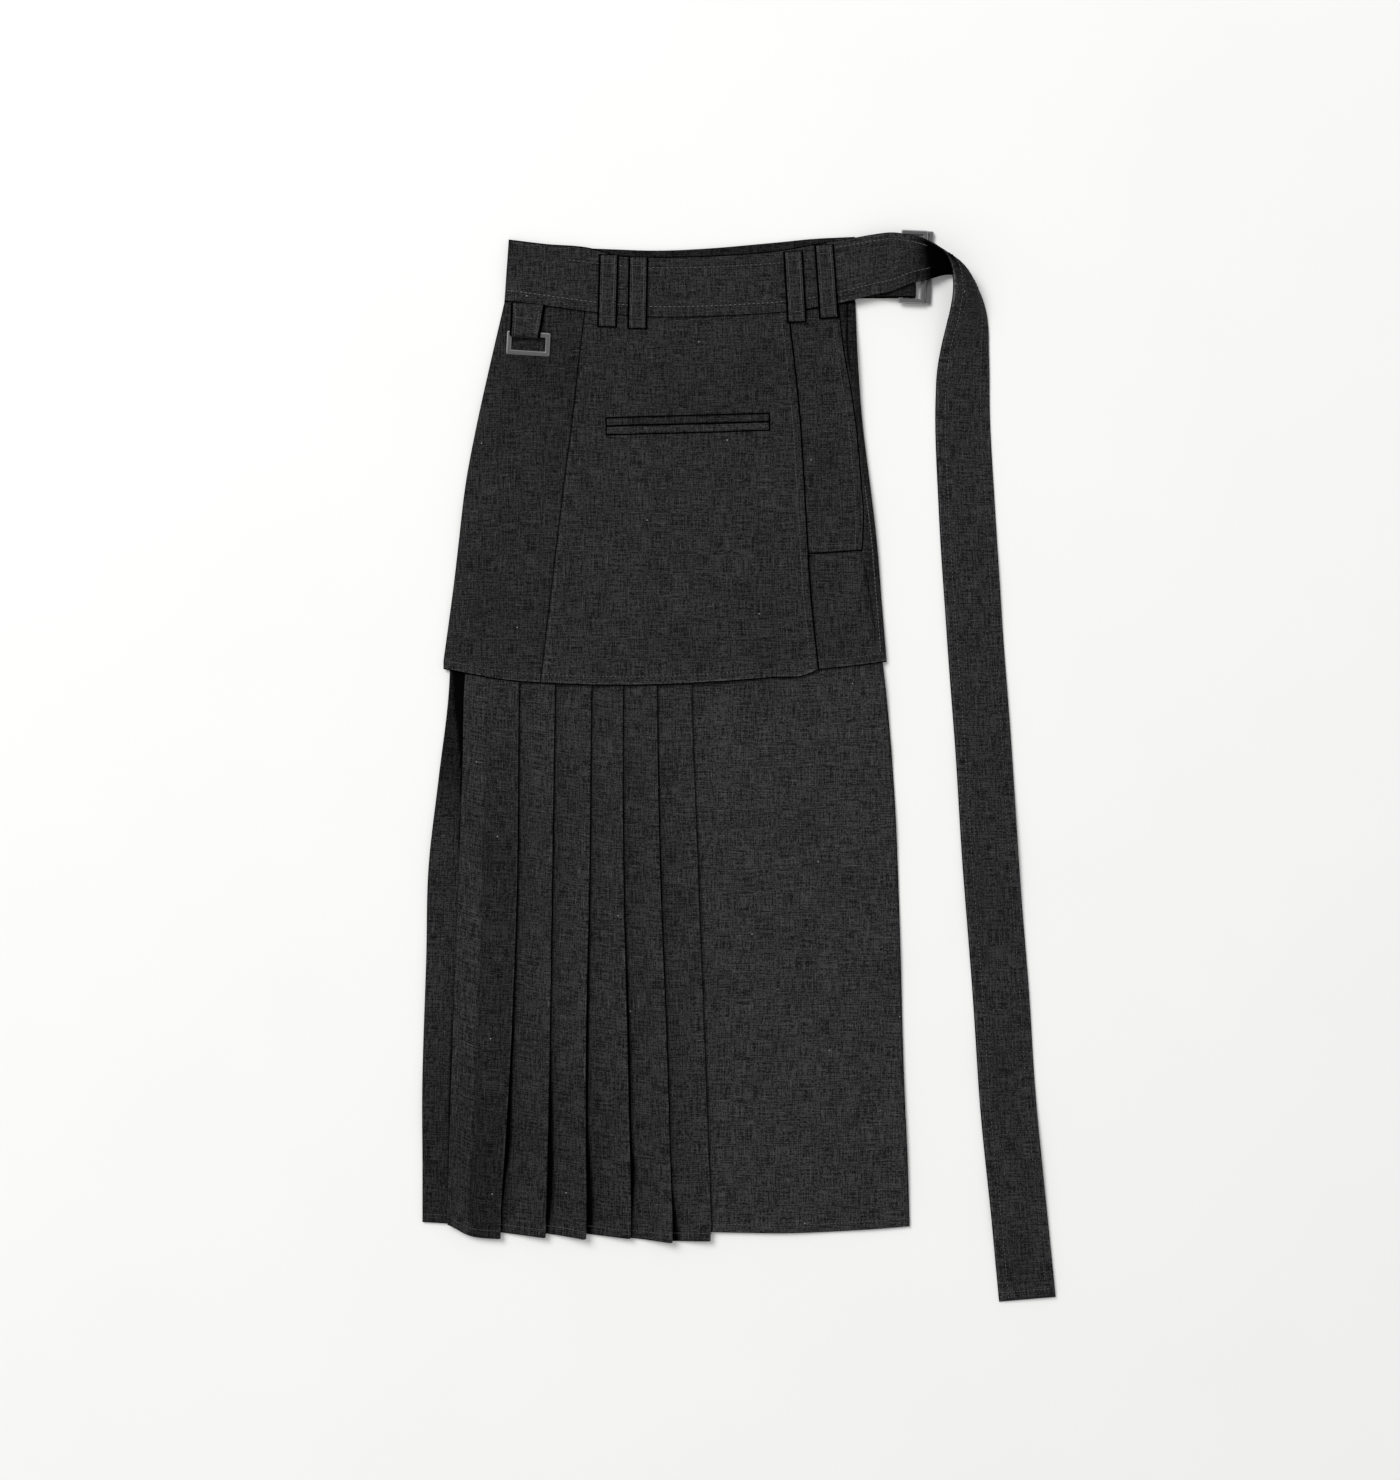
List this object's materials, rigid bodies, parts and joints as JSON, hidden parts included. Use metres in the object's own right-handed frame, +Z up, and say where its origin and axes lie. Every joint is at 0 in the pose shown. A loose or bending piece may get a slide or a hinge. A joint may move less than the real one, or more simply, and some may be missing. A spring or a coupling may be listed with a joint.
{
  "type": "pleated skirt",
  "caption": "Long knife-pleated skirt laid flat, with a short over-skirt, a waistband with loops, a ring on a tab, and a belt that turns over at a ring buckle.",
  "frame": {"origin": "on the surface it lies on, at the middle of the whole outline", "axes": "+Y from the hem to the waist, +X to the right of the garment as it lies, +Z up, away from the surface"},
  "size_m": [0.5694, 0.9645, 0.0279],
  "materials": {
    "cloth": "black slub-yarn linen plain weave, matt, with pressed edges and tonal stitching",
    "metal": "dark grey coated zinc alloy, satin, with chamfered edges"
  },
  "bodies": {
    "skirt": {"overskirt_back": "cloth", "long_back": "cloth", "pleated_front": "cloth", "plain_front": "cloth", "overskirt_left": "cloth", "overskirt_flap": "cloth", "overskirt_right": "cloth", "pocket_patch": "cloth", "welt_upper": "cloth", "welt_lower": "cloth", "waistband_back": "cloth", "waistband_front": "cloth", "belt_loop_1": "cloth", "belt_loop_2": "cloth", "belt_loop_3": "cloth", "belt_loop_4": "cloth", "belt": "cloth", "ring_tab": "cloth", "buckle_tab": "cloth", "buckle_ring_outer": "metal", "buckle_ring_inner": "metal"},
    "ring": {"side_ring": "metal"}
  },
  "joints": [
    {"name": "ring_swing", "type": "hinge", "parent": "skirt", "child": "ring", "pos_m": [-0.1891, 0.3866, 0.01135], "axis": [-0.998, 0.0628, 0], "range_deg": [0, 165]}
  ]
}
